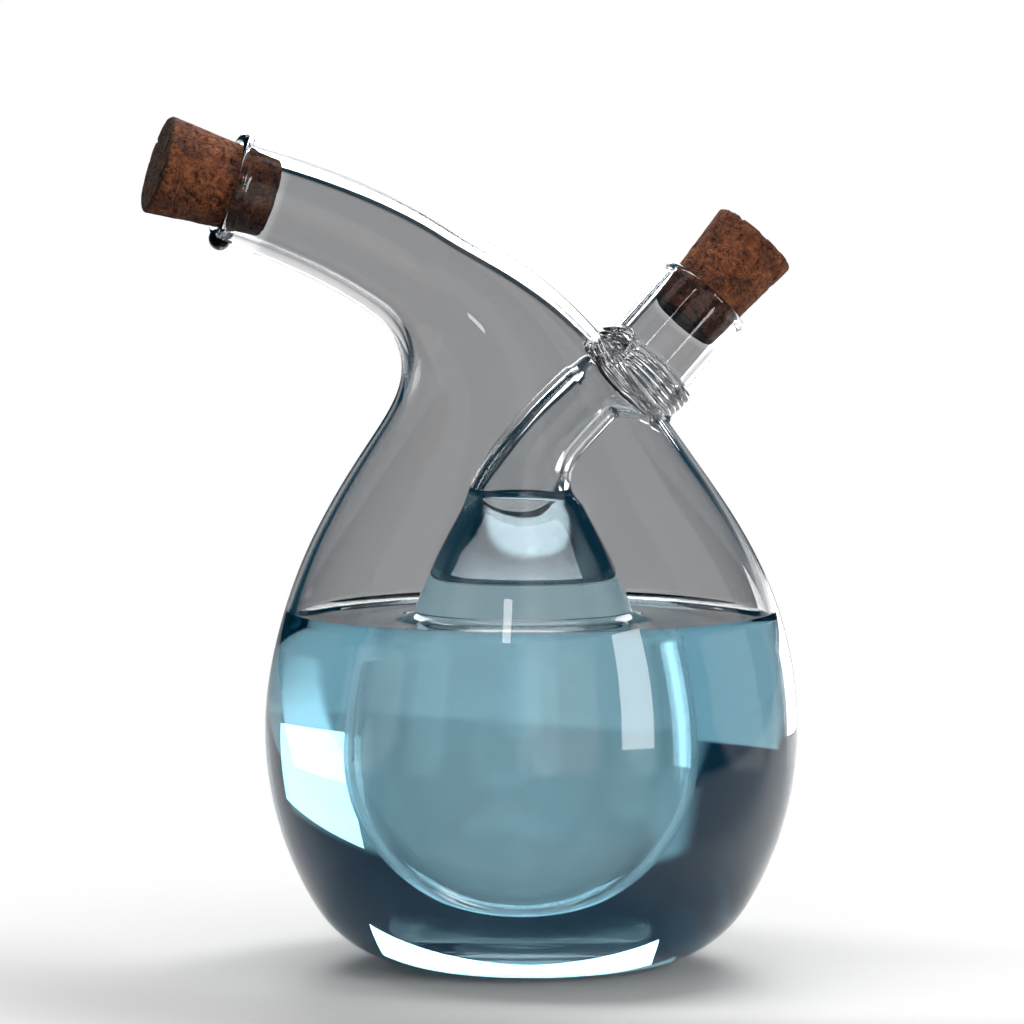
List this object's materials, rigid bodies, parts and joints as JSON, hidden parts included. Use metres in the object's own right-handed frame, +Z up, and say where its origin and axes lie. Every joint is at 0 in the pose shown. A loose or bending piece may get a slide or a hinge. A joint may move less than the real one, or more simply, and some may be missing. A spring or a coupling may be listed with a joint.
{
  "type": "oil and vinegar cruet",
  "caption": "Clear blown-glass pouring flask with a smaller flask sealed inside it, each filled and closed by a tapered cork.",
  "frame": {"origin": "centre of the flat base, on the surface the cruet stands on", "axes": "+Z up; the long spout leans towards -X and the short side mouth towards +X; XZ is the plane of symmetry"},
  "size_m": [0.1234, 0.1, 0.1588],
  "materials": {
    "clear_glass": "clear hand-blown glass, fire-polished lips",
    "outer_filling": "clear pale blue liquid",
    "inner_filling": "clear, very pale blue liquid",
    "cork": "matt pressed cork granules with dark pits"
  },
  "bodies": {
    "flask": {"glass_vessel": "clear_glass", "outer_liquid": "outer_filling", "inner_liquid": "inner_filling"},
    "spout_stopper": {"spout_cork": "cork"},
    "stub_stopper": {"stub_cork": "cork"}
  },
  "joints": [
    {"name": "spout_cork_slide", "type": "slide", "parent": "flask", "child": "spout_stopper", "axis": [-0.9563, 0, 0.2924], "range_m": [0, 0.03]},
    {"name": "stub_cork_slide", "type": "slide", "parent": "flask", "child": "stub_stopper", "axis": [0.6756, 0, 0.7373], "range_m": [0, 0.03]}
  ]
}
